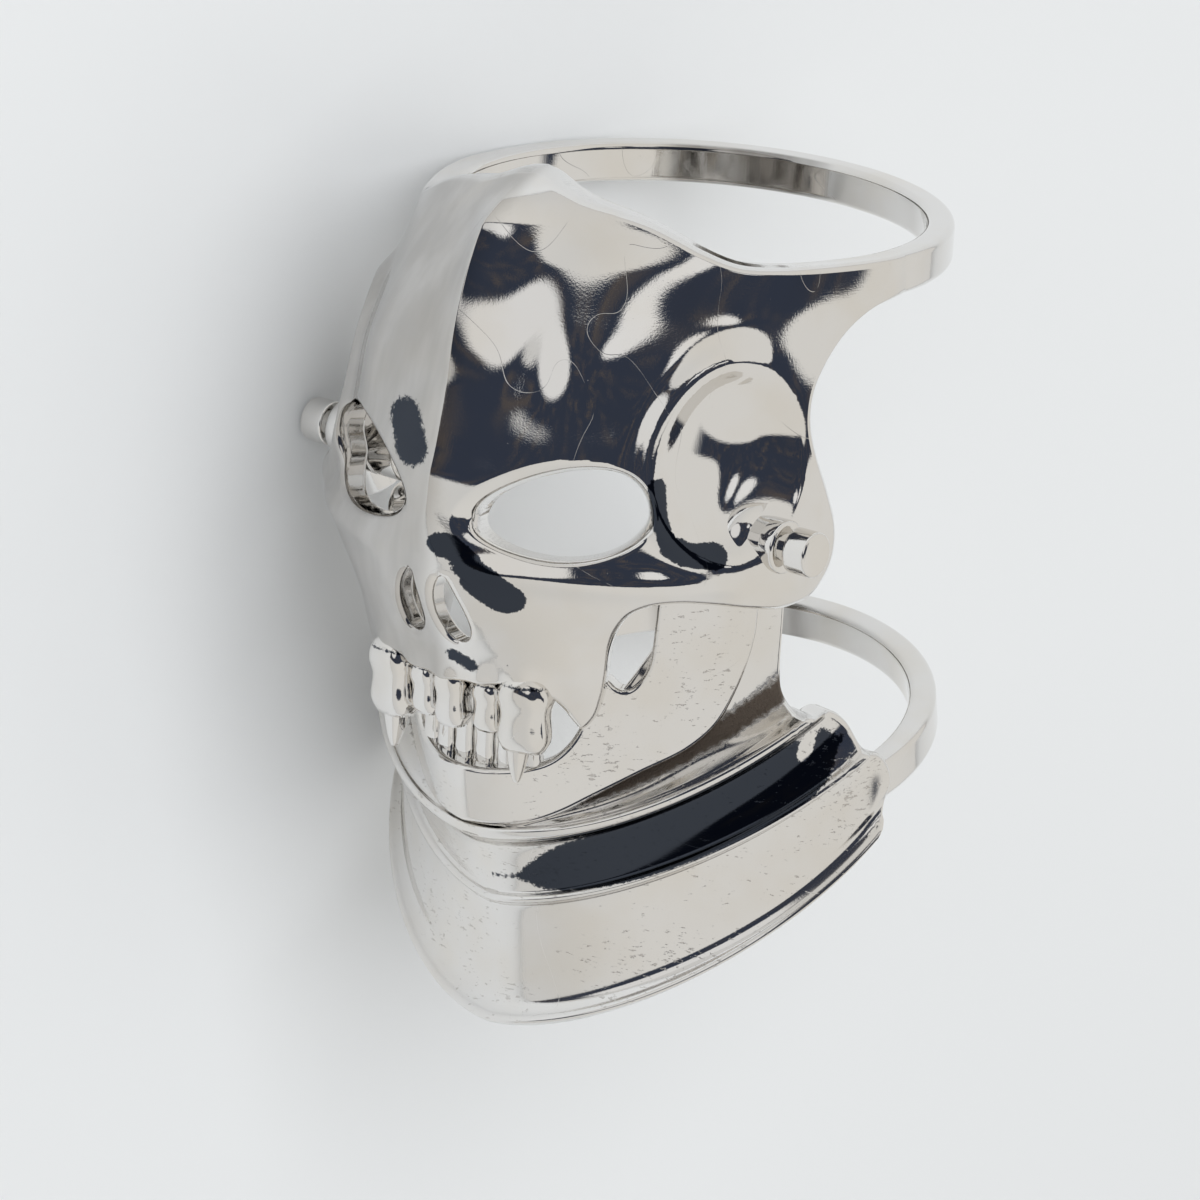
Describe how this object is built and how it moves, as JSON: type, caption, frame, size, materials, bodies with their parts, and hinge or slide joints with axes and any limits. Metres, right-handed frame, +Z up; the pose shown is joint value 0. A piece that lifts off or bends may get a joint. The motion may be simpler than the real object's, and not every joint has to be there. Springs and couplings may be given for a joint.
{
  "type": "skull ring",
  "caption": "Polished metal finger ring on two bands: a skull mask above, and a hinged jaw with a stepped throat collar below, joined by a rivet at each side.",
  "frame": {"origin": "middle of the underside of the ring as it lies on its side", "axes": "-X along the finger towards its tip (the crown's side), -Y towards the front of the face, +Z up, which is the wearer's left side of the ring"},
  "size_m": [0.0376, 0.0294, 0.0265],
  "materials": {
    "polished_silver": "hand-polished sterling silver with fine scratches and small casting pits",
    "oxidised_silver": "polished sterling silver, darkened brown in the recess under the jawline",
    "rivet_silver": "turned sterling silver rivet, file marks on its end"
  },
  "bodies": {
    "mask_half": {"skull_mask": "polished_silver", "hinge_rivet_left": "rivet_silver", "hinge_rivet_right": "rivet_silver"},
    "jaw_half": {"jaw_collar": "oxidised_silver"}
  },
  "joints": [
    {"name": "jaw_hinge", "type": "hinge", "parent": "mask_half", "child": "jaw_half", "pos_m": [-0.00452, -0.00573, 0.01327], "axis": [-0.0107, 0.2278, 0.9736], "range_deg": [0, 35]}
  ]
}
